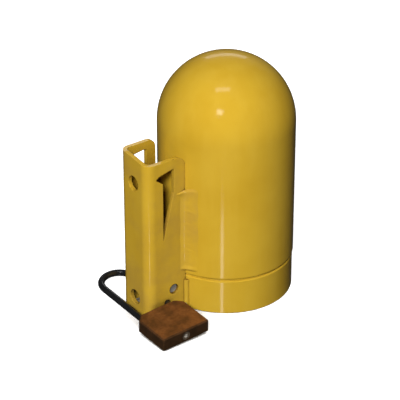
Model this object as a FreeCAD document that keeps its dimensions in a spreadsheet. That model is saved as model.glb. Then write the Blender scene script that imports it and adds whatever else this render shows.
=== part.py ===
"""Trailer coupler lock: a steel cup that covers a coupler, with a welded lock channel and a brass padlock.

Frame: +Z up, origin on the cup's axis in the plane of its mouth. The lock channel stands on the -X side.
The padlock has a frame of its own, with its origin at the middle of its body: x runs from the long leg to the
short leg, y runs from the key face to the shackle's bow, and z runs through the body's thickness.
"""

import FreeCAD, Part
import os

import Sketcher

Vector = FreeCAD.Vector
Rotation = FreeCAD.Rotation
Placement = FreeCAD.Placement

doc = FreeCAD.newDocument("coupler_lock")

# ---------------------------------------------------------------- driving dimensions, millimetres and degrees
SIZES = {
    # cup
    "cup_radius": 63.5,
    "cup_wall": 5,
    "tube_bottom": 35.2,
    "tube_top": 169,
    "tube_lip_round": 2.6,
    "ring_radius": 62.7,
    "ring_top": 33.9,
    "ring_edge": 1,
    "groove_depth": 1.4,
    # lock channel, measured from the outer face of its web
    "web_face": -103.5,
    "plate": 4,
    "front_face": 17.5,
    "rear_face": 24,
    "bend_radius": 9,
    "channel_bottom": 2,
    "front_top": 157.6,
    "rear_top": 161.6,
    "front_corner": 10,
    "rear_corner": 8,
    "slot_edge_front": 17.8,
    "slot_edge_rear": 18,
    "slot_right_front": 30.2,
    "slot_right_rear": 27.6,
    "slot_tip_front": 10.2,
    "slot_tip_rear": 10.4,
    "rear_arm_end": 37.6,
    "slot_band_front": 9.6,
    "slot_band_rear": 7.8,
    "slot_tip_front_drop": 14,
    "slot_tip_rear_drop": 10.5,
    "slot_shoulder_drop": 21,
    "arm_bottom": 124,
    "slot_foot": 78,
    "web_hole_radius": 7.3,
    "web_hole_high": 134.5,
    "web_hole_low": 17,
    # welds
    "weld_radius": 20,
    "weld_front_x": -47.2,
    "weld_front_y": -9.4,
    "weld_rear_x": -45.6,
    "weld_rear_y": 14.6,
    "weld_bottom": 40,
    "weld_taper": 3,
    "ring_weld_radius": 3.2,
    "ring_weld_bottom": 3,
    "ring_weld_top": 30.5,
    # cross pin
    "pin_along": 29.2,
    "pin_high": 24.3,
    "pin_radius": 4.95,
    "pin_hole_radius": 5,
    "pin_inset": 2,
    "clip_inner": 4.3,
    "clip_outer": 6.3,
    "clip_thick": 1,
    "clip_inset": 0.3,
    # padlock body
    "body_width": 51.5,
    "body_height": 44,
    "body_thick": 13,
    "body_edge": 1.2,
    "body_corner": 7,
    "lock_centre_x": -98.4,
    "lock_centre_y": -45.3,
    "lock_centre_z": 9.14,
    "lock_pitch": 4,
    "lock_roll": 2.6,
    # shackle
    "leg_radius": 3.2,
    "leg_half_space": 16.5,
    "leg_hole_radius": 3.3,
    "plate_hole_radius": 3.55,
    "leg_straight": 103.2,
    "short_tip": 11.5,
    "long_tip": -12.8,
    "notch_low": 14,
    "notch_high": 19.4,
    "notch_depth": 2.4,
    "notch_ramp": 11,
    "keeper_flat_depth": 1.6,
    "keeper_flat_low": -10.9,
    "keeper_flat_high": 3.2,
    # lock mechanism
    "plug_radius": 4.3,
    "plug_bore": 4.35,
    "plug_back": -1,
    "plug_recess": 0.3,
    "cam_bore": 4.05,
    "cam_bore_end": 20,
    "cam_long": 3.88,
    "cam_short": 1.55,
    "cam_low": 14,
    "cam_high": 19.2,
    "stem_radius": 2.6,
    "tang_half": 0.9,
    "tang_length": 2.5,
    "bolt_along": 16.6,
    "bolt_radius": 2.5,
    "bolt_bore": 2.55,
    "bolt_inner": 4.35,
    "bolt_outer": 15.65,
    "chamber_radius": 1.3,
    "stack_radius": 1.25,
    "chamber_first": -18.4,
    "chamber_pitch": 2.9,
    "driver_length": 3.2,
    "key_pin_length": 2.6,
    "chamber_plug_length": 2,
    "keeper_radius": 1.25,
    "keeper_along": 1.5,
    "dowel_radius": 0.7,
    "dowel_along": -2.2,
    "groove_radius": 3.3,
    "groove_half": 0.85,
    "keyway_half": 0.6,
    "keyway_deep": 3.1,
    "spring_seat": -17.6,
    "spring_wire": 0.45,
    "spring_coil": 2.6,
}
CHAMBERS = 5

sheet = doc.addObject("Spreadsheet::Sheet", "Sizes")
for row, (alias, value) in enumerate(SIZES.items(), start=1):
    sheet.set(f"A{row}", alias)
    sheet.set(f"B{row}", str(value))
    sheet.setAlias(f"B{row}", alias)
doc.recompute()


def size(alias):
    """A driving dimension as a number, for the pieces whose shape is set directly."""
    return float(sheet.get(alias))


def bound(text):
    """An expression in the sheet's names, written with a $ before each name."""
    return text.replace("$", "Sizes.")


def bind(obj, **expressions):
    """Binds properties to the sheet. A double underscore in a property's name stands for a dot."""
    for name, text in expressions.items():
        obj.setExpression(name.replace("__", "."), bound(text))
    return obj


# ---------------------------------------------------------------- primitives and booleans
TURNS = {
    "x": Rotation(Vector(0, 1, 0), 90),
    "y": Rotation(Vector(1, 0, 0), -90),
    "z": Rotation(),
}


def place(obj, at, turn=None):
    """Puts obj at a point given as three expressions, turned so that its own z axis follows the named one."""
    obj.Placement = Placement(Vector(), TURNS[turn or "z"])
    return bind(obj, Placement__Base__x=at[0], Placement__Base__y=at[1], Placement__Base__z=at[2])


def rod(name, radius, length, at, along="z"):
    made = doc.addObject("Part::Cylinder", name)
    bind(made, Radius=radius, Height=length)
    return place(made, at, along)


def block(name, sides, at):
    made = doc.addObject("Part::Box", name)
    bind(made, Length=sides[0], Width=sides[1], Height=sides[2])
    return place(made, at)


def ball(name, radius, at):
    made = doc.addObject("Part::Sphere", name)
    bind(made, Radius=radius)
    return place(made, at)


def fuse(name, *pieces):
    made = doc.addObject("Part::MultiFuse", name)
    made.Shapes = list(pieces)
    made.Refine = True
    return made


def cut(name, base, *tools):
    made = doc.addObject("Part::Cut", name)
    made.Base = base
    made.Tool = tools[0] if len(tools) == 1 else fuse(name + "_tools", *tools)
    made.Refine = True
    return made


def group(name, pieces):
    """Identical pieces that share one node, each a solid of its own."""
    made = doc.addObject("Part::Compound", name)
    made.Links = list(pieces)
    return made


# ---------------------------------------------------------------- sketches
def origin_plane(body, role):
    return next(f for f in body.Origin.OriginFeatures if f.Role == role)


def new_sketch(body, name, role):
    made = body.newObject("Sketcher::SketchObject", name)
    made.AttachmentSupport = (origin_plane(body, role), [""])
    made.MapMode = "FlatFace"
    return made


def set_coordinate(sketch, kind, geometry, end, expression, start):
    """Fixes one coordinate of a sketch point, measured from the sketch's origin, to an expression."""
    sketch.addConstraint(Sketcher.Constraint(kind, -1, 1, geometry, end, start))
    sketch.setExpression(f"Constraints[{sketch.ConstraintCount - 1}]", bound(expression))


def outline(sketch, corners):
    """A closed polygon whose corners are pairs of expressions. The solver moves it from a first guess."""
    count = len(corners)
    guess = [Rotation(Vector(0, 0, 1), 360.0 * i / count).multVec(Vector(10, 0, 0)) for i in range(count)]
    for i in range(count):
        sketch.addGeometry(Part.LineSegment(guess[i], guess[(i + 1) % count]))
    for i in range(count):
        sketch.addConstraint(Sketcher.Constraint("Coincident", i, 2, (i + 1) % count, 1))
    for i, (across, up) in enumerate(corners):
        set_coordinate(sketch, "DistanceX", i, 1, across, guess[i].x)
        set_coordinate(sketch, "DistanceY", i, 1, up, guess[i].y)
    return sketch


def circle(sketch, across, up, radius):
    geometry = sketch.addGeometry(Part.Circle(Vector(1, 1, 0), Vector(0, 0, 1), 5))
    set_coordinate(sketch, "DistanceX", geometry, 3, across, 1)
    set_coordinate(sketch, "DistanceY", geometry, 3, up, 1)
    sketch.addConstraint(Sketcher.Constraint("Radius", geometry, 5))
    sketch.setExpression(f"Constraints[{sketch.ConstraintCount - 1}]", bound(radius))
    return sketch


def pad(body, sketch, length):
    made = body.newObject("PartDesign::Pad", sketch.Name + "_pad")
    made.Profile = sketch
    return bind(made, Length=length)


def pocket(body, sketch, length, reverse):
    """Cuts a sketch into the body on one side of its plane, and makes sure that it took material away."""
    doc.recompute()
    before = body.Shape.Volume
    made = body.newObject("PartDesign::Pocket", sketch.Name + "_pocket")
    made.Profile = sketch
    made.Reversed = reverse
    bind(made, Length=length)
    doc.recompute()
    if body.Shape.Volume > before - 1:
        raise RuntimeError(made.Name + " cuts nothing")
    return made


def edges_where(shape, test):
    """Names of the edges whose middle point and direction pass the test."""
    found = []
    for number, edge in enumerate(shape.Edges, start=1):
        middle = edge.valueAt((edge.FirstParameter + edge.LastParameter) / 2)
        if test(edge, middle):
            found.append(f"Edge{number}")
    return found


def near(value, target):
    return abs(value - target) < 0.05


def round_edges(body, name, radius, test):
    """Rounds the body's edges that pass the test."""
    doc.recompute()
    tip = body.Tip
    chosen = edges_where(body.Shape, test)
    made = body.newObject("PartDesign::Fillet", name)
    made.Base = (tip, chosen)
    bind(made, Radius=radius)
    doc.recompute()
    return made


# ---------------------------------------------------------------- cup
def make_revolved(name, corners, round_corner=None):
    """A ring turned about the cup's axis from an outline of radius and height."""
    body = doc.addObject("PartDesign::Body", name)
    sketch = outline(new_sketch(body, name + "_section", "XZ_Plane"), corners)
    turned = body.newObject("PartDesign::Revolution", name + "_turned")
    turned.Profile = sketch
    turned.ReferenceAxis = (sketch, ["V_Axis"])
    turned.Angle = 360
    return body


def make_cup_tube():
    body = make_revolved("cup_tube", [
        ("$cup_radius - $cup_wall", "$tube_bottom"),
        ("$cup_radius", "$tube_bottom"),
        ("$cup_radius", "$tube_top"),
        ("$cup_radius - $cup_wall", "$tube_top"),
    ])
    round_edges(body, "tube_lip", "$tube_lip_round", lambda edge, middle: near(middle.z, size("tube_bottom"))
                and near(Vector(middle.x, middle.y, 0).Length, size("cup_radius")))
    return body


def make_dome_cap():
    outer = ball("dome_outer", "$cup_radius", ("0", "0", "$tube_top"))
    outer.Angle1 = 0
    inner = ball("dome_inner", "$cup_radius - $cup_wall", ("0", "0", "$tube_top"))
    return cut("dome_cap", outer, inner)


def make_mouth_ring():
    return make_revolved("mouth_ring", [
        ("$cup_radius - $cup_wall", "0"),
        ("$ring_radius - $ring_edge / 2", "0"),
        ("$ring_radius", "$ring_edge / 2"),
        ("$ring_radius", "$ring_top - $ring_edge"),
        ("$ring_radius - $ring_edge", "$ring_top"),
        ("$cup_radius - $cup_wall", "$ring_top"),
    ])


def make_mouth_weld():
    return make_revolved("mouth_weld", [
        ("$cup_radius - $cup_wall", "$ring_top"),
        ("$ring_radius - $groove_depth", "$ring_top"),
        ("$ring_radius - $groove_depth + 0.4", "($ring_top + $tube_bottom) / 2"),
        ("$ring_radius - $groove_depth", "$tube_bottom"),
        ("$cup_radius - $cup_wall", "$tube_bottom"),
    ])


# ---------------------------------------------------------------- lock channel
def flange_slot(side):
    """The hook-shaped slot of the front or rear flange, which narrows to a point at its foot."""
    top, edge, right = f"${side}_top", f"$slot_edge_{side}", f"$slot_right_{side}"
    inside, tip, drop = f"{top} - $slot_band_{side}", f"$slot_tip_{side}", f"$slot_tip_{side}_drop"
    return [
        (f"$web_face + {edge}", "$slot_foot"),
        (f"$web_face + {right}", "$arm_bottom"),
        (f"$web_face + {right}", inside),
        (f"$web_face + {right} - 3", inside),
        (f"$web_face + {tip} + 3", f"{top} - {drop} + 1.2"),
        (f"$web_face + {tip}", f"{top} - {drop} - 1"),
        (f"$web_face + {tip} + 1", f"{top} - {drop} - 2.6"),
        (f"$web_face + {edge}", f"{top} - $slot_shoulder_drop"),
    ]


def make_lock_channel():
    body = doc.addObject("PartDesign::Body", "lock_channel")
    section = outline(new_sketch(body, "channel_section", "XY_Plane"), [
        ("$web_face", "-$front_face"),
        ("-$cup_radius * 0.8", "-$front_face"),
        ("-$cup_radius * 0.8", "$plate - $front_face"),
        ("$web_face + $plate", "$plate - $front_face"),
        ("$web_face + $plate", "$rear_face - $plate"),
        ("-$cup_radius * 0.8", "$rear_face - $plate"),
        ("-$cup_radius * 0.8", "$rear_face"),
        ("$web_face", "$rear_face"),
    ])
    pad(body, section, "$rear_top")

    def upright(edge, middle, inset):
        """An edge of the bends, inset from the outer faces."""
        front, rear = inset - size("front_face"), size("rear_face") - inset
        return (near(middle.x, size("web_face") + inset) and (near(middle.y, front) or near(middle.y, rear))
                and edge.BoundBox.ZLength > 10)

    round_edges(body, "outer_bends", "$bend_radius", lambda edge, middle: upright(edge, middle, 0))
    round_edges(body, "inner_bends", "$bend_radius - $plate",
                lambda edge, middle: upright(edge, middle, size("plate")))

    # the channel's edges follow the tube
    pocket(body, circle(new_sketch(body, "tube_clearance", "XY_Plane"), "0", "0", "$cup_radius"), "$rear_top", True)
    # the channel stands a little above the plane of the mouth
    foot = outline(new_sketch(body, "channel_foot", "XY_Plane"), [
        ("$web_face - 5", "-$front_face - 5"),
        ("0", "-$front_face - 5"),
        ("0", "$rear_face + 5"),
        ("$web_face - 5", "$rear_face + 5"),
    ])
    pocket(body, foot, "$channel_bottom", True)

    # the web's top slopes from the lower front flange up to the rear one
    slope = outline(new_sketch(body, "web_top", "YZ_Plane"), [
        ("-$front_face - 1", "$front_top"),
        ("$plate - $front_face", "$front_top"),
        ("$rear_face - $bend_radius", "$rear_top"),
        ("$rear_face - $bend_radius", "$rear_top + 10"),
        ("-$front_face - 1", "$rear_top + 10"),
    ])
    pocket(body, slope, "-$web_face + 10", False)

    front, rear = "$front_face + 1", "$rear_face + 1"
    pocket(body, outline(new_sketch(body, "front_slot", "XZ_Plane"), flange_slot("front")), front, True)
    pocket(body, outline(new_sketch(body, "rear_slot", "XZ_Plane"), flange_slot("rear")), rear, False)
    # the rear arm stops short of the tube
    beyond = outline(new_sketch(body, "rear_arm", "XZ_Plane"), [
        ("$web_face + $rear_arm_end", "$arm_bottom"),
        ("$web_face + $rear_arm_end", "$rear_top + 20"),
        ("$web_face + 90", "$rear_top + 20"),
        ("$web_face + 90", "$arm_bottom"),
    ])
    pocket(body, beyond, rear, False)

    pin_x, leg_x = "$web_face + $pin_along", "$lock_centre_x + $leg_half_space * cos($lock_roll)"
    front_holes = new_sketch(body, "front_holes", "XZ_Plane")
    circle(front_holes, pin_x, "$pin_high", "$pin_hole_radius")
    circle(front_holes, leg_x, leg_height("$plate / 2 - $front_face"), "$plate_hole_radius")
    pocket(body, front_holes, front, True)
    rear_holes = new_sketch(body, "rear_holes", "XZ_Plane")
    circle(rear_holes, pin_x, "$pin_high", "$pin_hole_radius")
    circle(rear_holes, leg_x, leg_height("$rear_face - $plate / 2"), "$plate_hole_radius")
    pocket(body, rear_holes, rear, False)

    web_holes = new_sketch(body, "web_holes", "YZ_Plane")
    for height in ("$web_hole_high", "$web_hole_low"):
        circle(web_holes, "($rear_face - $front_face) / 2", height, "$web_hole_radius")
    pocket(body, web_holes, "-$web_face + 10", False)

    round_edges(body, "front_arm_corner", "$front_corner",
                lambda edge, middle: middle.y < 0 and near(middle.z, size("front_top"))
                and middle.x > size("web_face") + 38 and edge.BoundBox.YLength > 1)
    round_edges(body, "rear_arm_corner", "$rear_corner",
                lambda edge, middle: middle.y > 0 and near(middle.z, size("rear_top"))
                and near(middle.x, size("web_face") + size("rear_arm_end")))
    return body


def leg_height(y):
    """Height of the short leg's axis where it crosses the plane at y, as an expression."""
    leg_rise = "$leg_half_space * sin($lock_roll)"
    return (f"$lock_centre_z + {leg_rise} * cos($lock_pitch)"
            f" + ({y} - $lock_centre_y + {leg_rise} * sin($lock_pitch)) * tan($lock_pitch)")


def make_channel_weld(side):
    """A broad fillet weld in the corner between a flange's outer face and the tube, thinner at its ends."""
    name = side + "_channel_weld"
    at_x, at_y = f"$weld_{side}_x", f"$weld_{side}_y"
    run = rod(name + "_run", "$weld_radius", "$arm_bottom - $weld_bottom - 2 * $weld_taper",
              (at_x, at_y, "$weld_bottom + $weld_taper"))
    ends = []
    for end, low, high, start in (("low", "$weld_radius - 0.8", "$weld_radius", "$weld_bottom"),
                                  ("high", "$weld_radius", "$weld_radius - 0.8", "$arm_bottom - $weld_taper")):
        cone = doc.addObject("Part::Cone", f"{name}_{end}")
        bind(cone, Radius1=low, Radius2=high, Height="$weld_taper")
        ends.append(place(cone, (at_x, at_y, start)))
    channel = block(name + "_channel", ("40", "$front_face + $rear_face", "$rear_top"),
                    ("$web_face + 20", "-$front_face", "0"))
    tube = rod(name + "_tube", "$cup_radius", "$rear_top", ("0", "0", "0"))
    return cut(name, fuse(name + "_bead", run, *ends), channel, tube)


def make_ring_weld(side):
    """A narrow bead in the corner between a flange's outer face and the mouth ring."""
    name = side + "_ring_weld"
    face = f"${side}_face"
    sign = "-" if side == "front" else ""
    bead = rod(name + "_bead", "$ring_weld_radius", "$ring_weld_top - $ring_weld_bottom",
               (f"-sqrt($ring_radius * $ring_radius - {face} * {face})", f"{sign}{face}", "$ring_weld_bottom"))
    channel = block(name + "_channel", ("40", "$front_face + $rear_face", "$rear_top"),
                    ("$web_face + 20", "-$front_face", "0"))
    ring = rod(name + "_ring", "$ring_radius", "$rear_top", ("0", "0", "0"))
    return cut(name, bead, channel, ring)


# ---------------------------------------------------------------- cross pin
def make_cross_pin():
    at_x, at_z = "$web_face + $pin_along", "$pin_high"
    shank = rod("pin_shank", "$pin_radius", "$front_face + $rear_face - 2 * $pin_inset",
                (at_x, "$pin_inset - $front_face", at_z), "y")
    grooves = []
    for side in (-1, 1):
        middle = clip_middle(side)
        groove = cut(f"pin_groove_{side + 1}",
                     rod(f"groove_outer_{side + 1}", "$pin_radius + 1", "$clip_thick + 0.2",
                         (at_x, f"{middle} - $clip_thick / 2 - 0.1", at_z), "y"),
                     rod(f"groove_inner_{side + 1}", "$clip_inner - 0.05", "$clip_thick + 0.2",
                         (at_x, f"{middle} - $clip_thick / 2 - 0.1", at_z), "y"))
        grooves.append(groove)
    grooved = cut("pin_grooved", shank, *grooves)
    doc.recompute()
    chamfered = doc.addObject("Part::Chamfer", "cross_pin")
    chamfered.Base = grooved
    ends = (size("pin_inset") - size("front_face"), size("rear_face") - size("pin_inset"))
    rims = edges_where(grooved.Shape, lambda edge, middle: near(middle.y, ends[0]) or near(middle.y, ends[1]))
    chamfered.Edges = [(int(name[4:]), 0.8, 0.8) for name in rims]
    return chamfered


def clip_middle(side):
    face = "$rear_face" if side > 0 else "$front_face"
    return f"{side} * ({face} - $plate - $clip_inset - $clip_thick / 2)"


def make_pin_clips():
    """The two retaining rings, open at the bottom, which keep the cross pin between the flanges."""
    at_x, at_z = "$web_face + $pin_along", "$pin_high"
    clips = []
    for side in (-1, 1):
        face = f"{clip_middle(side)} - $clip_thick / 2"
        disc = rod(f"clip_disc_{side + 1}", "$clip_outer", "$clip_thick", (at_x, face, at_z), "y")
        hole = rod(f"clip_hole_{side + 1}", "$clip_inner", "$clip_thick", (at_x, face, at_z), "y")
        mouth = block(f"clip_mouth_{side + 1}", ("2 * $clip_inner - 2", "$clip_thick", "$clip_outer + 1"),
                      (f"{at_x} - $clip_inner + 1", face, f"{at_z} - $clip_outer - 1"))
        clips.append(cut(f"clip_{side + 1}", disc, hole, mouth))
    return group("pin_clips", clips)


# ---------------------------------------------------------------- padlock, in its own frame
def make_shackle():
    space, top = "$leg_half_space", "$leg_straight - $body_height / 2"
    long_leg = rod("long_leg", "$leg_radius", f"{top} - $long_tip", (f"-{space}", "$long_tip", "0"), "y")
    short_leg = rod("short_leg", "$leg_radius", f"{top} - $short_tip", (space, "$short_tip", "0"), "y")
    bow = doc.addObject("Part::Torus", "bow")
    bow.Angle3 = 180
    bind(bow, Radius1=space, Radius2="$leg_radius")
    place(bow, ("0", top, "0"))
    legs = fuse("shackle_legs", long_leg, short_leg, bow)
    doc.recompute()
    tips = doc.addObject("Part::Chamfer", "shackle_tips")
    tips.Base = legs
    ends = (size("long_tip"), size("short_tip"))
    rims = edges_where(legs.Shape, lambda edge, middle: near(middle.y, ends[0]) or near(middle.y, ends[1]))
    tips.Edges = [(int(name[4:]), 0.6, 0.6) for name in rims]
    tools = []
    for side, name in ((-1, "long"), (1, "short")):
        inner = f"{space} - $leg_radius"
        notch = doc.addObject("Part::Wedge", f"notch_{name}")
        # full depth from the notch's shoulder to its foot, then a ramp that runs out towards the leg's tip
        bind(notch, Xmin="0", Xmax="1 + $notch_depth", X2min="0", X2max="1",
             Ymin="0", Ymax="$notch_ramp", Zmin="0", Zmax="2 * $leg_radius", Z2min="0", Z2max="2 * $leg_radius")
        turn = Rotation(Vector(1, 0, 0), 180) if side > 0 else Rotation(Vector(0, 0, 1), 180)
        notch.Placement = Placement(Vector(), turn)
        bind(notch, Placement__Base__x=f"{side} * ({inner} - 1)", Placement__Base__y="$notch_low",
             Placement__Base__z=f"{side} * $leg_radius")
        corner = f"{inner} - 1" if side > 0 else f"-({inner}) - $notch_depth"
        slab = block(f"notch_floor_{name}", ("1 + $notch_depth", "$notch_high - $notch_low", "2 * $leg_radius"),
                     (corner, "$notch_low", "-$leg_radius"))
        tools += [notch, slab]
    flat = block("keeper_flat", ("2 + $keeper_flat_depth", "$keeper_flat_high - $keeper_flat_low", "2 * $leg_radius"),
                 (f"-{space} - $leg_radius - 2", "$keeper_flat_low", "-$leg_radius"))
    return cut("shackle", tips, flat, *tools)


def make_padlock_body():
    half_w, half_h, half_t = "$body_width / 2", "$body_height / 2", "$body_thick / 2"
    blank = block("body_blank", ("$body_width", "$body_height", "$body_thick"), (f"-{half_w}", f"-{half_h}", f"-{half_t}"))
    doc.recompute()
    corners = doc.addObject("Part::Chamfer", "body_corners")
    corners.Base = blank
    upright = edges_where(blank.Shape, lambda edge, middle: edge.BoundBox.ZLength > 5)
    corner_sizes = []
    for name in upright:
        edge = blank.Shape.Edges[int(name[4:]) - 1]
        depth = size("body_corner") if edge.CenterOfMass.y > 0 else size("body_edge")
        corner_sizes.append((int(name[4:]), depth, depth))
    corners.Edges = corner_sizes
    doc.recompute()
    rims = doc.addObject("Part::Chamfer", "body_rims")
    rims.Base = corners
    flat = edges_where(corners.Shape, lambda edge, middle: edge.BoundBox.ZLength < 0.1)
    rims.Edges = [(int(name[4:]), size("body_edge"), size("body_edge")) for name in flat]

    space = "$leg_half_space"
    holes = [
        rod("long_leg_hole", "$leg_hole_radius", f"{half_h} - $spring_seat", (f"-{space}", "$spring_seat", "0"), "y"),
        rod("short_leg_hole", "$leg_hole_radius", f"{half_h} - $short_tip + 0.5", (space, "$short_tip - 0.5", "0"), "y"),
        rod("plug_hole", "$plug_bore", f"$plug_back + {half_h}", ("0", f"-{half_h}", "0"), "y"),
        rod("cam_hole", "$cam_bore", "$cam_bore_end - $plug_back", ("0", "$plug_back", "0"), "y"),
        rod("bolt_hole", "$bolt_bore", f"{half_w} + {space}", (f"-{space}", "$bolt_along", "0"), "x"),
        rod("keeper_hole", "$keeper_radius", f"{half_t} + $leg_radius - 1",
            (keeper_x(), "$keeper_along", f"-{half_t}"), "z"),
        rod("dowel_hole", "$dowel_radius", f"{half_t} + 2", (dowel_x(), "$dowel_along", f"-{half_t}"), "z"),
    ]
    for number in range(CHAMBERS):
        holes.append(rod(f"chamber_{number}", "$chamber_radius", half_w, ("0", chamber_y(number), "0"), "x"))
    return cut("padlock_body", rims, *holes)


def keeper_x():
    return "-$leg_half_space - $leg_radius + $keeper_flat_depth - $keeper_radius - 0.05"


def dowel_x():
    return "-$groove_radius - 0.1 - $dowel_radius"


def chamber_y(number):
    return f"$chamber_first + {number} * $chamber_pitch"


def make_shackle_keeper():
    return rod("shackle_keeper", "$keeper_radius", "$body_thick / 2 + $leg_radius - 1",
               (keeper_x(), "$keeper_along", "-$body_thick / 2"), "z")


def make_plug_dowel():
    return rod("plug_dowel", "$dowel_radius", "$body_thick / 2 + 2", (dowel_x(), "$dowel_along", "-$body_thick / 2"), "z")


def make_bore_plug():
    """Closes the bore that the two locking bolts went in by."""
    inner = "$leg_half_space + $leg_hole_radius + 1"
    return rod("bore_plug", "$bolt_bore", f"$body_width / 2 - ({inner})", (inner, "$bolt_along", "0"), "x")


def make_chamber_plugs():
    start = "$body_width / 2 - $chamber_plug_length"
    return group("chamber_plugs", [
        rod(f"chamber_plug_{n}", "$chamber_radius", "$chamber_plug_length", (start, chamber_y(n), "0"), "x")
        for n in range(CHAMBERS)])


def make_driver_pins():
    return group("driver_pins", [
        rod(f"driver_{n}", "$stack_radius", "$driver_length", ("$plug_bore + 0.1", chamber_y(n), "0"), "x")
        for n in range(CHAMBERS)])


def make_key_pins():
    """The key pins stand at the shear line, as the right key holds them. Each has a blunt cone towards the key."""
    pins = []
    for number in range(CHAMBERS):
        top = "$plug_radius - 0.15"
        shank = rod(f"key_pin_shank_{number}", "$stack_radius", "$key_pin_length - 0.8",
                    (f"{top} - $key_pin_length + 0.8", chamber_y(number), "0"), "x")
        tip = doc.addObject("Part::Cone", f"key_pin_tip_{number}")
        bind(tip, Radius1="0.5", Radius2="$stack_radius", Height="0.8")
        place(tip, (f"{top} - $key_pin_length", chamber_y(number), "0"), "x")
        pins.append(fuse(f"key_pin_{number}", shank, tip))
    return group("key_pins", pins)


def make_key_plug():
    face = "-$body_height / 2 + $plug_recess"
    barrel = rod("plug_barrel", "$plug_radius", f"$plug_back - 0.05 - ({face})", ("0", face, "0"), "y")
    groove = cut("plug_groove",
                 rod("plug_groove_outer", "$plug_radius + 1", "2 * $groove_half",
                     ("0", "$dowel_along - $groove_half", "0"), "y"),
                 rod("plug_groove_inner", "$groove_radius", "2 * $groove_half",
                     ("0", "$dowel_along - $groove_half", "0"), "y"))
    keyway = block("keyway", (f"$keyway_deep + 2", f"$chamber_pitch * {CHAMBERS} + 1", "2 * $keyway_half"),
                   ("-$keyway_deep", face, "-$keyway_half"))
    tang_slot = block("tang_slot", ("2 * $plug_radius", "$tang_length", "2 * $tang_half + 0.1"),
                      ("-$plug_radius", "$plug_back - $tang_length", "-$tang_half - 0.05"))
    holes = [rod(f"plug_chamber_{n}", "$chamber_radius", "$plug_radius", ("0.8", chamber_y(n), "0"), "x")
             for n in range(CHAMBERS)]
    return cut("key_plug", barrel, groove, keyway, tang_slot, *holes)


def make_lock_cam():
    """The cam turns with the plug: a tang in the plug's slot, a round stem, and an oval that holds the bolts out."""
    oval = doc.addObject("Part::Ellipse", "cam_oval")
    bind(oval, MajorRadius="$cam_long", MinorRadius="$cam_short")
    place(oval, ("0", "$cam_low", "0"), "y")
    lobe = doc.addObject("Part::Extrusion", "cam_lobe")
    lobe.Base = oval
    lobe.DirMode = "Custom"
    lobe.Dir = Vector(0, 1, 0)
    lobe.Solid = True
    bind(lobe, LengthFwd="$cam_high - $cam_low")
    stem = rod("cam_stem", "$stem_radius", "$cam_low - $plug_back", ("0", "$plug_back", "0"), "y")
    tang = block("cam_tang", ("2 * $stem_radius", "$tang_length", "2 * $tang_half"),
                 ("-$stem_radius", "$plug_back - $tang_length + 0.1", "-$tang_half"))
    return fuse("lock_cam", lobe, stem, tang)


def make_locking_bolt(name, side):
    """A steel bolt between the cam and a leg's notch, with a domed nose."""
    nose = "$bolt_outer - $bolt_radius"
    if side > 0:
        shank = rod(name + "_shank", "$bolt_radius", f"{nose} - $bolt_inner", ("$bolt_inner", "$bolt_along", "0"), "x")
    else:
        shank = rod(name + "_shank", "$bolt_radius", f"{nose} - $bolt_inner", (f"-({nose})", "$bolt_along", "0"), "x")
    dome = ball(name + "_dome", "$bolt_radius", (f"{side} * ({nose})", "$bolt_along", "0"))
    return fuse(name, shank, dome)


def coil_spring(length, turns, coil, wire):
    """A round-wire compression spring along z, closed into one solid."""
    path = Part.Wire(Part.makeHelix(length / turns, length, coil))
    profile = Part.Wire(Part.makeCircle(wire, Vector(coil, 0, 0), Vector(0, 1, 0)))
    return path.makePipeShell([profile], True, True)


def make_driver_springs():
    start = size("plug_bore") + 0.1 + size("driver_length") + 0.3
    end = size("body_width") / 2 - size("chamber_plug_length") - 0.3
    springs = []
    for number in range(CHAMBERS):
        spring = coil_spring(end - start, 9, 0.85, 0.22)
        at = Vector(start, size("chamber_first") + number * size("chamber_pitch"), 0)
        spring.Placement = Placement(at, TURNS["x"])
        springs.append(spring)
    made = doc.addObject("Part::Feature", "driver_springs")
    made.Shape = Part.makeCompound(springs)
    return made


def make_shackle_spring():
    wire = size("spring_wire")
    low, high = size("spring_seat") + wire + 0.05, size("long_tip") - wire - 0.05
    spring = coil_spring(high - low, 3.5, size("spring_coil"), wire)
    spring.Placement = Placement(Vector(-size("leg_half_space"), low, 0), TURNS["y"])
    made = doc.addObject("Part::Feature", "shackle_spring")
    made.Shape = Part.makeCompound([spring])
    return made


# ---------------------------------------------------------------- assembly
padlock_turn = (Rotation(Vector(1, 0, 0), size("lock_pitch")) * Rotation(Vector(0, 1, 0), -size("lock_roll")))
padlock_place = Placement(Vector(*(size("lock_centre_" + axis) for axis in "xyz")), padlock_turn)

fixed_pieces = [
    make_dome_cap(),
    make_cup_tube(),
    make_mouth_ring(),
    make_mouth_weld(),
    make_lock_channel(),
    make_channel_weld("front"),
    make_channel_weld("rear"),
    make_ring_weld("front"),
    make_ring_weld("rear"),
    make_cross_pin(),
    make_pin_clips(),
]
padlock_pieces = [
    make_shackle(),
    make_padlock_body(),
    make_bore_plug(),
    make_shackle_keeper(),
    make_plug_dowel(),
    make_chamber_plugs(),
    make_driver_pins(),
    make_driver_springs(),
    make_shackle_spring(),
    make_key_plug(),
    make_key_pins(),
    make_lock_cam(),
    make_locking_bolt("bolt_short_side", 1),
    make_locking_bolt("bolt_long_side", -1),
]


def carried(piece):
    """A piece in the padlock's frame, carried to where the padlock lies by a group of one."""
    held = doc.addObject("Part::Compound", piece.Name + "_placed")
    held.Links = [piece]
    held.Placement = padlock_place
    held.Label = piece.Name
    return held


nodes = {piece.Name: piece for piece in fixed_pieces}
nodes.update({piece.Name: carried(piece) for piece in padlock_pieces})
doc.recompute()

failed = [obj.Name for obj in doc.Objects if "Invalid" in obj.State or "Error" in obj.State]
if failed:
    raise RuntimeError(f"these objects failed: {failed}")
for name, piece in nodes.items():
    if piece.Shape.isNull() or not piece.Shape.isValid() or not piece.Shape.Solids:
        raise RuntimeError(f"{name} has no valid solid")

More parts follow.
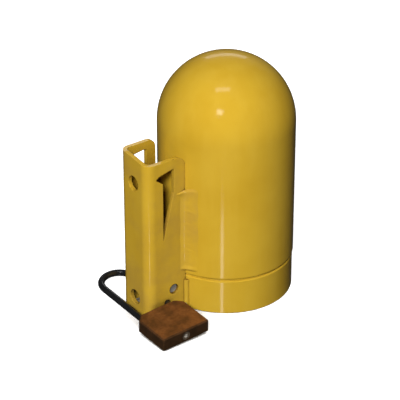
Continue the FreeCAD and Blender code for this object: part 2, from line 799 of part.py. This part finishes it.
os.makedirs("parts", exist_ok=True)
for name, piece in nodes.items():
    piece.Shape.exportStep(os.path.join("parts", name + ".step"))
    box = piece.Shape.BoundBox
    print(f"{name:20s} solids {len(piece.Shape.Solids)}  volume {piece.Shape.Volume:9.1f}  "
          f"x {box.XMin:.1f}..{box.XMax:.1f}  y {box.YMin:.1f}..{box.YMax:.1f}  z {box.ZMin:.1f}..{box.ZMax:.1f}")
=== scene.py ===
from math import asin, cos, pi, radians, sin

import bpy
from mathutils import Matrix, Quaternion, Vector


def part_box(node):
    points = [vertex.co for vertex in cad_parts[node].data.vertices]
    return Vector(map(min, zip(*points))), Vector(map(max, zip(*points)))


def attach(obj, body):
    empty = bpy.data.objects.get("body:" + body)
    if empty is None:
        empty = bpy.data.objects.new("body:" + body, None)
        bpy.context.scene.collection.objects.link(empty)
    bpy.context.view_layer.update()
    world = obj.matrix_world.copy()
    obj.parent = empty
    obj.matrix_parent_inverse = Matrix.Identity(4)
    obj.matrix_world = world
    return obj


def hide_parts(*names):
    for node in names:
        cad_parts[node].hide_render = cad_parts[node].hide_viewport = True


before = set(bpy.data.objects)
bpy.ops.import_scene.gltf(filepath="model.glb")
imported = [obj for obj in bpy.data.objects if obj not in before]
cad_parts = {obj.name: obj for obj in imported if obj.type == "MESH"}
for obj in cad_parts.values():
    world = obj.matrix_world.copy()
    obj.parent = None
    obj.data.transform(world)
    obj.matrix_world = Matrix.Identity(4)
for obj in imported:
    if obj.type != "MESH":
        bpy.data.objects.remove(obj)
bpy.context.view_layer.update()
MM = 0.001
CUP_RADIUS = 63.5 * MM


# ---------------------------------------------------------------- node graphs
class Graph:
    """One material's nodes. An input given as another node's socket is linked, any other is set."""

    def __init__(self, name):
        self.material = bpy.data.materials.new(name)
        self.material.use_nodes = True
        self.tree = self.material.node_tree
        self.tree.nodes.clear()

    def node(self, kind, inputs=None, **settings):
        made = self.tree.nodes.new("ShaderNode" + kind)
        for key, value in settings.items():
            setattr(made, key, value)
        for key, value in (inputs or {}).items():
            self.feed(made.inputs[key], value)
        return made

    def feed(self, socket, value):
        if isinstance(value, bpy.types.NodeSocket):
            self.tree.links.new(value, socket)
        else:
            socket.default_value = value

    def place(self, stretch=(1, 1, 1), turn=(0, 0, 0)):
        """Coordinates in metres in the row frame, stretched and turned."""
        where = self.node("TexCoord").outputs["Object"]
        made = self.node("Mapping", {"Vector": where, "Scale": stretch, "Rotation": turn})
        return made.outputs["Vector"]

    def noise(self, scale, detail=3, rough=0.55, stretch=(1, 1, 1), turn=(0, 0, 0)):
        made = self.node("TexNoise", {"Vector": self.place(stretch, turn), "Scale": scale,
                                      "Detail": detail, "Roughness": rough})
        return made.outputs["Fac"]

    def ramp(self, value, low, high):
        """0 below low, 1 above high, and smooth in between."""
        made = self.node("MapRange", {"Value": value, "From Min": low, "From Max": high},
                         interpolation_type="SMOOTHSTEP")
        return made.outputs["Result"]

    def math(self, how, a, b=0.5):
        made = self.node("Math", {0: a, 1: b}, operation=how, use_clamp=how in ("ADD", "SUBTRACT"))
        return made.outputs["Value"]

    def spread(self, value, low, high):
        """value's 0 to 1 laid over low to high."""
        made = self.node("MapRange", {"Value": value, "To Min": low, "To Max": high})
        return made.outputs["Result"]

    def mix(self, share, a, b, how="MIX"):
        made = self.node("Mix", {0: share}, data_type="RGBA", blend_type=how)
        self.feed(made.inputs[6], a if isinstance(a, bpy.types.NodeSocket) else (*a, 1))
        self.feed(made.inputs[7], b if isinstance(b, bpy.types.NodeSocket) else (*b, 1))
        return made.outputs[2]

    def bump(self, height, distance, strength=1.0, normal=None):
        made = self.node("Bump", {"Height": height, "Distance": distance, "Strength": strength})
        if normal is not None:
            self.feed(made.inputs["Normal"], normal)
        return made.outputs["Normal"]

    def edges(self, radius):
        """(1 on outer and inner edges, the normal rounded over those edges)."""
        rounded = self.node("Bevel", {"Radius": radius}, samples=6).outputs["Normal"]
        flat = self.node("NewGeometry").outputs["Normal"]
        facing = self.node("VectorMath", {0: rounded, 1: flat}, operation="DOT_PRODUCT")
        return self.ramp(self.math("SUBTRACT", 1.0, facing.outputs["Value"]), 0.03, 0.2), rounded

    def crevices(self, distance, low=0.12, high=0.62):
        """1 deep in corners and gaps, 0 in the open."""
        open_share = self.node("AmbientOcclusion", {"Distance": distance}, samples=6).outputs["AO"]
        return self.ramp(self.math("SUBTRACT", 1.0, open_share), low, high)

    def finish(self, **inputs):
        names = {key.replace("_", " "): value for key, value in inputs.items()}
        shader = self.node("BsdfPrincipled", names)
        self.node("OutputMaterial", {"Surface": shader.outputs["BSDF"]})
        return self.material


# ---------------------------------------------------------------- materials
CREVICE_BLACK = (0.02, 0.015, 0.01)


def make_paint(name, worn):
    """Ochre yellow gloss enamel sprayed over steel; worn paint has grime and painted shade in its crevices,
    painted shade deep inside enclosed corners, a painted highlight along its edges, and chipped edges.
    """
    g = Graph(name)
    broad = g.ramp(g.noise(16, 3), 0.3, 0.7)
    runs = g.ramp(g.noise(60, 3, stretch=(1, 1, 0.16)), 0.35, 0.72)
    colour = g.mix(broad, (0.640, 0.400, 0.030), (0.585, 0.352, 0.022))
    colour = g.mix(g.math("MULTIPLY", runs, 0.35), colour, (0.665, 0.430, 0.045))

    dust = g.ramp(g.noise(1150, 2), 0.715, 0.76)
    colour = g.mix(g.math("MULTIPLY", dust, 0.4), colour, (0.25, 0.15, 0.04))
    bare = g.math("MULTIPLY", g.ramp(g.noise(46, 8, 0.72, stretch=(1, 1, 0.6)), 0.735, 0.75), 0.5)
    grime_and_shade, rounded = 0.0, None
    if worn:
        stain = g.math("MULTIPLY", g.ramp(g.noise(26, 4, 0.6), 0.42, 0.72), 0.4)
        colour = g.mix(stain, colour, (0.40, 0.235, 0.055))
        # painted shade: near black deep inside the channel and other enclosed corners
        deep = g.crevices(45 * MM, 0.42, 0.82)
        colour = g.mix(g.math("MULTIPLY", deep, 0.92), colour, (0.085, 0.036, 0.005))
        # grime and painted shade: darker brown in narrow gaps and grooves, where the paint is also rougher
        # and less glossy
        grime_and_shade = g.math("MULTIPLY", g.crevices(6 * MM), g.spread(g.noise(140, 4), 0.15, 0.75))
        colour = g.mix(grime_and_shade, colour, (0.20, 0.105, 0.018))
        edge, rounded = g.edges(0.9 * MM)
        # painted highlight: lighter yellow along the edges
        painted_edge_highlight = g.math("MULTIPLY", edge, g.ramp(g.noise(230, 4), 0.42, 0.60))
        colour = g.mix(g.math("MULTIPLY", painted_edge_highlight, 0.3), colour, (0.70, 0.47, 0.10))
        chips = g.math("MULTIPLY", edge, g.ramp(g.noise(330, 5, 0.65), 0.605, 0.63))
        bare = g.math("ADD", chips, bare)
    rust = g.mix(g.ramp(g.noise(700, 3), 0.35, 0.65), (0.12, 0.075, 0.05), (0.20, 0.075, 0.022))
    colour = g.mix(bare, colour, rust)

    normal = g.bump(g.noise(620, 2, 0.5), 0.05 * MM, 0.15, rounded)
    normal = g.bump(g.noise(85, 2), 0.25 * MM, 0.12, normal)
    normal = g.bump(g.math("SUBTRACT", 1.0, bare), 0.09 * MM, 0.6, normal)
    rough = g.math("ADD", g.spread(g.noise(30, 4), 0.36, 0.48), g.math("MULTIPLY", grime_and_shade, 0.3))
    rough = g.math("ADD", rough, g.math("MULTIPLY", bare, 0.25))
    gloss = g.math("SUBTRACT", 0.9, g.math("ADD", grime_and_shade, bare))
    return g.finish(Base_Color=colour, Roughness=rough, Normal=normal, Metallic=g.math("MULTIPLY", bare, 0.4),
                    Specular_IOR_Level=0.15, Coat_Weight=gloss,
                    Coat_Roughness=g.spread(g.noise(24, 3), 0.07, 0.12))


def make_aged_brass():
    """Brass gone dark brown with handling and weather, still a little metallic."""
    g = Graph("aged_brass")
    blotch = g.ramp(g.noise(95, 5, 0.62), 0.34, 0.68)
    fine = g.ramp(g.noise(420, 4), 0.35, 0.7)
    grain = g.noise(60, 4, stretch=(1, 14, 14))
    colour = g.mix(blotch, (0.385, 0.163, 0.060), (0.195, 0.087, 0.033))
    colour = g.mix(g.math("MULTIPLY", fine, 0.3), colour, (0.110, 0.062, 0.028))
    colour = g.mix(g.math("MULTIPLY", g.ramp(grain, 0.52, 0.74), 0.4), colour, (0.32, 0.155, 0.062))
    # the narrow sides are painted darker than the two broad faces: painted shade
    facing = g.node("SeparateXYZ", {"Vector": g.node("TexCoord").outputs["Normal"]}).outputs["Z"]
    side = g.math("SUBTRACT", 1.0, g.ramp(g.math("ABSOLUTE", facing), 0.45, 0.85))
    colour = g.mix(g.math("MULTIPLY", side, 0.68), colour, (0.060, 0.040, 0.020))

    edge, rounded = g.edges(1.5 * MM)
    # the edges are painted near black: painted shade
    colour = g.mix(g.math("MULTIPLY", edge, 0.9), colour, (0.016, 0.011, 0.007))
    worn = g.math("MULTIPLY", edge, g.ramp(g.noise(260, 5, 0.65), 0.66, 0.70))
    nicks = g.ramp(g.noise(210, 7, 0.75), 0.70, 0.725)
    bright = g.math("ADD", worn, g.math("MULTIPLY", nicks, 0.6))
    colour = g.mix(bright, colour, (0.46, 0.29, 0.10))
    # darker in crevices and gaps
    crevice_dark = g.math("MULTIPLY", g.crevices(4 * MM), 0.85)
    colour = g.mix(crevice_dark, colour, (0.014, 0.010, 0.008))

    scratch = g.ramp(g.noise(38, 3, stretch=(1, 34, 34), turn=(0, 0, 0.5)), 0.60, 0.70)
    normal = g.bump(grain, 0.06 * MM, 0.45, rounded)
    normal = g.bump(scratch, 0.05 * MM, 0.35, normal)
    normal = g.bump(g.noise(300, 5), 0.12 * MM, 0.3, normal)
    rough = g.math("SUBTRACT", g.spread(g.noise(120, 4), 0.40, 0.62), g.math("MULTIPLY", bright, 0.18))
    metal = g.math("SUBTRACT", 0.72, g.math("MULTIPLY", crevice_dark, 0.5))
    return g.finish(Base_Color=colour, Roughness=rough, Normal=normal, Metallic=metal,
                    Specular_IOR_Level=0.35)


def make_metal(name, light, dark, rough, grain=(1, 1, 1), wear=None, metallic=1.0):
    """A bare or plated metal: two tones in patches, a directional grain, dark crevices and worn edges."""
    g = Graph(name)
    size = 500
    patch = g.ramp(g.noise(size * 0.3, 4), 0.32, 0.7)
    lines = g.noise(size, 4, stretch=grain)
    colour = g.mix(patch, light, dark)
    colour = g.mix(g.math("MULTIPLY", g.ramp(lines, 0.45, 0.75), 0.35), colour, dark)
    edge, rounded = g.edges(0.35 * MM)
    if wear:
        colour = g.mix(g.math("MULTIPLY", edge, g.ramp(g.noise(size * 0.8, 5), 0.5, 0.62)), colour, wear)
    # darker in crevices and gaps
    crevice_dark = g.math("MULTIPLY", g.crevices(2 * MM), 0.7)
    colour = g.mix(crevice_dark, colour, CREVICE_BLACK)
    normal = g.bump(lines, 0.03 * MM, 0.6, rounded)
    polish = g.math("ADD", g.spread(g.noise(size * 0.5, 3), *rough), g.math("MULTIPLY", crevice_dark, 0.25))
    return g.finish(Base_Color=colour, Metallic=metallic, Normal=normal, Roughness=polish)


def make_plug_metal():
    """A dull plug face, darker in its crevices, with a bright spot round the keyway that is partly rubbed by
    keys and partly a painted highlight.
    """
    g = Graph("rubbed_highlit_plug")
    patch = g.ramp(g.noise(420, 4), 0.35, 0.7)
    colour = g.mix(patch, (0.20, 0.15, 0.10), (0.10, 0.07, 0.045))
    # a bright spot round the keyway: partly rubbed bright by keys, partly a painted highlight
    keyway = (-98.4 * MM, 0, 7.6 * MM)
    reach = g.node("VectorMath", {0: g.place((1, 0, 1)), 1: keyway}, operation="DISTANCE").outputs["Value"]
    away = g.math("ADD", reach, g.spread(g.noise(900, 3), -0.5 * MM, 0.5 * MM))
    rubbed = g.math("SUBTRACT", 1.0, g.ramp(away, 1.1 * MM, 2.4 * MM))
    colour = g.mix(rubbed, colour, (0.78, 0.72, 0.62))
    rounded = g.edges(0.3 * MM)[1]
    # darker in crevices and gaps
    crevice_dark = g.math("MULTIPLY", g.crevices(1.2 * MM), 0.8)
    colour = g.mix(crevice_dark, colour, CREVICE_BLACK)
    normal = g.bump(g.noise(700, 4, stretch=(5, 1, 5)), 0.03 * MM, 0.5, rounded)
    return g.finish(Base_Color=colour, Metallic=0.35, Normal=normal, Roughness=g.spread(patch, 0.28, 0.45))


def make_dark_chrome():
    """Near-black plating on a hardened shackle, polished, with faint draw lines and rubbed spots."""
    g = Graph("dark_chrome_plate")
    smoke = g.ramp(g.noise(70, 4), 0.3, 0.7)
    colour = g.mix(smoke, (0.070, 0.072, 0.078), (0.120, 0.119, 0.122))
    draw = g.noise(110, 3, stretch=(9, 1, 9))
    rub = g.ramp(g.noise(160, 6, 0.7), 0.66, 0.70)
    colour = g.mix(g.math("MULTIPLY", rub, 0.5), colour, (0.30, 0.29, 0.28))
    edge, rounded = g.edges(0.4 * MM)
    colour = g.mix(g.math("MULTIPLY", edge, 0.6), colour, (0.24, 0.235, 0.23))
    normal = g.bump(draw, 0.02 * MM, 0.5, rounded)
    rough = g.math("ADD", g.spread(g.noise(240, 3), 0.14, 0.24), g.math("MULTIPLY", rub, 0.2))
    return g.finish(Base_Color=colour, Metallic=0.9, Roughness=rough, Normal=normal,
                    Coat_Weight=0.35, Coat_Roughness=0.08)


FINISHES = {
    "yellow_paint": make_paint("yellow_enamel_worn", True),
    "weathered_brass": make_aged_brass(),
    "dark_chrome": make_dark_chrome(),
    "zinc_steel": make_metal("zinc_plate", (0.62, 0.62, 0.60), (0.36, 0.36, 0.35), (0.22, 0.36),
                             (1, 7, 1), (0.85, 0.84, 0.82), metallic=0.6),
    "spring_steel": make_metal("spring_steel_bare", (0.34, 0.34, 0.35), (0.18, 0.18, 0.19), (0.28, 0.45)),
    "bright_brass": make_metal("turned_brass", (0.68, 0.47, 0.17), (0.48, 0.31, 0.10), (0.20, 0.34),
                               (1, 1, 8), (0.8, 0.6, 0.28)),
    "plug_metal": make_plug_metal(),
}
SMOOTH_PAINT = make_paint("yellow_enamel_smooth", False)
ROUND_STEEL = ("dome_cap", "cup_tube", "mouth_ring", "mouth_weld")
for name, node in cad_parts.items():
    for at, old in enumerate(list(node.data.materials)):
        node.data.materials[at] = SMOOTH_PAINT if name in ROUND_STEEL else FINISHES[old.name]


# ---------------------------------------------------------------- weld beads
def ripple(z, sway, seed):
    """How far the bead stands proud: soft passes about 6 mm apart that bow towards the last one."""
    along = z / (6 * MM) + 0.8 * sway * sway + 0.30 * sin(z * 190 + seed) + 0.14 * sin(z * 610 + 2 * seed)
    step = along - int(along)
    size = 0.6 + 0.4 * sin(1.9 * int(along) + seed)
    return size * 0.16 * MM * (1 - (2 * step - 1) ** 2) + 0.18 * MM * sin(z * 95 + seed) - 0.08 * MM


def make_bead(name, node, seed):
    """A broad weld bead that rounds out from the tube to a flange's outer face, in low soft ripples."""
    low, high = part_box(node)
    side = 1 if low.y > 0 else -1
    face = min(abs(low.y), abs(high.y))
    corner = Vector((-(CUP_RADIUS ** 2 - face ** 2) ** 0.5, side * face, 0))
    start = radians(180) - side * asin(face / CUP_RADIUS)
    bottom, top = low.z + 0.4 * MM, high.z - 0.2 * MM
    rows, columns = 420, 48
    # how far the bead reaches over the tube and the flange, how proud it stands, how deep its rims sink
    on_tube, on_plate, flare = 14 * MM, 6 * MM, 6.5 * MM
    thick, lump, sunk = 2.1 * MM, 1.1 * MM, 0.12 * MM
    # how long its rounded ends, the flare at the top and half the lump at the foot are
    taper, flare_length, half_lump = 2.2 * MM, 9 * MM, 3 * MM
    verts, faces = [], []
    for i in range(rows + 1):
        z = bottom + (top - bottom) * i / rows
        end = min(min(z - bottom, top - z) / taper, 1)
        swell = 1 - 0.9 * (1 - end) ** 2
        narrow = 1 - 0.25 * (1 - end) ** 2 + 0.03 * sin(z * 260 + seed)
        crown = max(0, 1 - (top - z) / flare_length) ** 2
        blob = lump * max(0, 1 - abs(z - bottom - half_lump) / half_lump)
        for k in range(columns):
            across = k / (columns - 1)
            sway = 2 * across - 1
            # the straight way from a point on the flange to a point on the tube, eased into both
            share = narrow * (1 - across) ** 2
            turn = narrow * across ** 2 * on_tube / CUP_RADIUS
            on_face = corner - Vector(((on_plate + flare * crown) * share, 0, 0))
            heading = start - side * turn
            tube = Vector((CUP_RADIUS * cos(heading), CUP_RADIUS * sin(heading), 0))
            ease = across * across * (3 - 2 * across)
            at = on_face.lerp(tube, ease)
            out = Vector((0, side, 0)).lerp(tube.normalized(), ease).normalized()
            hump = (1 - sway * sway) ** 1.2
            proud = (thick + blob + ripple(z, sway, seed)) * swell
            at += out * (proud * hump - sunk * (1 - hump))
            verts.append((at.x, at.y, z + 5 * MM * (across - 0.45) * crown))
    for i in range(rows):
        for k in range(columns - 1):
            a = i * columns + k
            b = a + columns
            faces.append((a, a + 1, b + 1, b) if side < 0 else (a, b, b + 1, a + 1))
    mesh = bpy.data.meshes.new(name)
    mesh.from_pydata(verts, [], faces)
    mesh.polygons.foreach_set("use_smooth", [True] * len(faces))
    mesh.materials.append(FINISHES["yellow_paint"])
    piece = bpy.data.objects.new(name, mesh)
    bpy.context.scene.collection.objects.link(piece)
    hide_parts(node)
    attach(piece, "cup")


make_bead("front_weld_bead", "front_channel_weld", 0.4)
make_bead("rear_weld_bead", "rear_channel_weld", 2.1)


# ---------------------------------------------------------------- studio
def stage_material(name, tone, glow):
    """Matt paper that glows a little, with painted shadow under and inside the object."""
    g = Graph(name)
    shade = g.ramp(g.noise(1.3, 2), 0.3, 0.7)
    colour = g.mix(shade, (tone, tone, tone), (tone * 0.985, tone * 0.985, tone * 0.98))
    # painted shadow: darker under and inside the object
    colour = g.mix(g.crevices(70 * MM, 0.5, 0.8), colour, (0.05, 0.038, 0.02))
    return g.finish(Base_Color=colour, Roughness=0.9, Specular_IOR_Level=0.1,
                    Emission_Color=colour, Emission_Strength=glow)


def make_stage():
    """A pale floor that curves up into a pale wall all round."""
    profile = [(0, 0), (2.6, 0), (3.1, 0.06), (3.5, 0.3), (3.8, 0.8), (3.9, 1.6), (3.9, 4.5)]
    around = 96
    verts, faces = [(0, 0, 0)], []
    for reach, height in profile[1:]:
        for k in range(around):
            turn = 2 * pi * k / around
            verts.append((reach * cos(turn), reach * sin(turn), height))
    for k in range(around):
        after = (k + 1) % around
        faces.append((0, 1 + k, 1 + after))
        for ring in range(len(profile) - 2):
            a, b = 1 + ring * around, 1 + (ring + 1) * around
            faces.append((a + k, b + k, b + after, a + after))
    mesh = bpy.data.meshes.new("floor")
    mesh.from_pydata(verts, [], faces)
    mesh.polygons.foreach_set("use_smooth", [True] * len(faces))
    mesh.materials.append(stage_material("pale_paper", 0.86, 0.95))
    floor = bpy.data.objects.new("floor", mesh)
    floor.location.z = -0.1 * MM
    floor.visible_diffuse = False
    floor.visible_glossy = False
    floor.visible_shadow = False
    bpy.context.scene.collection.objects.link(floor)


make_stage()

MIDDLE = Vector((0, 0, 84.5 * MM))


def towards(azimuth, elevation):
    """The direction from the object to a point round it; azimuth 0 is in front, at -Y."""
    a, e = radians(azimuth), radians(elevation)
    return Vector((sin(a) * cos(e), -cos(a) * cos(e), sin(e)))


def aimed(way):
    """The turn of a camera or light that stands in direction way and looks back at the object."""
    return (-way).to_track_quat("-Z", "Y")


def make_light(name, azimuth, elevation, distance, width, height, power, diffuse=True, glossy=True, roll=0):
    """A rectangular light that looks at the object; metres, watts and degrees."""
    data = bpy.data.lights.new(name, "AREA")
    data.shape = "RECTANGLE"
    data.size, data.size_y = width, height
    data.energy = power
    light = bpy.data.objects.new(name, data)
    way = towards(azimuth, elevation)
    light.location = MIDDLE + way * distance
    light.rotation_euler = (aimed(way) @ Quaternion((0, 0, 1), radians(roll))).to_euler()
    light.visible_diffuse, light.visible_glossy = diffuse, glossy
    bpy.context.scene.collection.objects.link(light)


make_light("key_softbox", -47, 33.5, 2.4, 0.45, 0.45, 68, glossy=False)
make_light("overhead_softbox", -60, 84, 2.2, 0.8, 0.8, 4, glossy=False)
make_light("key_glint", -52, 37, 2.4, 0.36, 0.36, 2.5, diffuse=False)
make_light("top_glint", -58, 73.5, 2.2, 0.8, 0.26, 1.9, diffuse=False, roll=18)
make_light("low_glint", -44.4, -31.5, 2.4, 0.17, 0.34, 0.75, diffuse=False)
make_light("back_softbox", 142, 26, 2.6, 1.3, 0.5, 2.2)
make_light("back_fill", 134, 24, 2.6, 2.4, 1.0, 38, glossy=False)

world = bpy.data.worlds.new("studio_air")
world.use_nodes = True
sky = world.node_tree
sky.nodes["Background"].inputs["Color"].default_value = (0.93, 0.95, 1.0, 1)
sky.nodes["Background"].inputs["Strength"].default_value = 0.025
bpy.context.scene.world = world

# The camera stands 1.78 m away, 38 degrees round to the channel's side, and aims a little beside the cup's
# axis, towards the channel, so that the cup and the padlock fill the picture together.
AZIMUTH, ELEVATION, DISTANCE = -38, 28.2, 1.7837
LENS, SENSOR = 172.53, 36
back = towards(AZIMUTH, ELEVATION)
right = Vector((cos(radians(AZIMUTH)), sin(radians(AZIMUTH)), 0))
above = back.cross(right)
camera_data = bpy.data.cameras.new("camera")
camera_data.sensor_width, camera_data.lens = SENSOR, LENS
camera_data.clip_start, camera_data.clip_end = 0.05, 30
camera = bpy.data.objects.new("camera", camera_data)
aim = MIDDLE - right * (24.0 * MM) + above * (0.47 * MM)
camera.location = aim + back * DISTANCE
camera.rotation_euler = aimed(back).to_euler()
bpy.context.scene.collection.objects.link(camera)
bpy.context.scene.camera = camera
bpy.context.scene.view_settings.view_transform = "Standard"
bpy.context.scene.view_settings.look = "None"
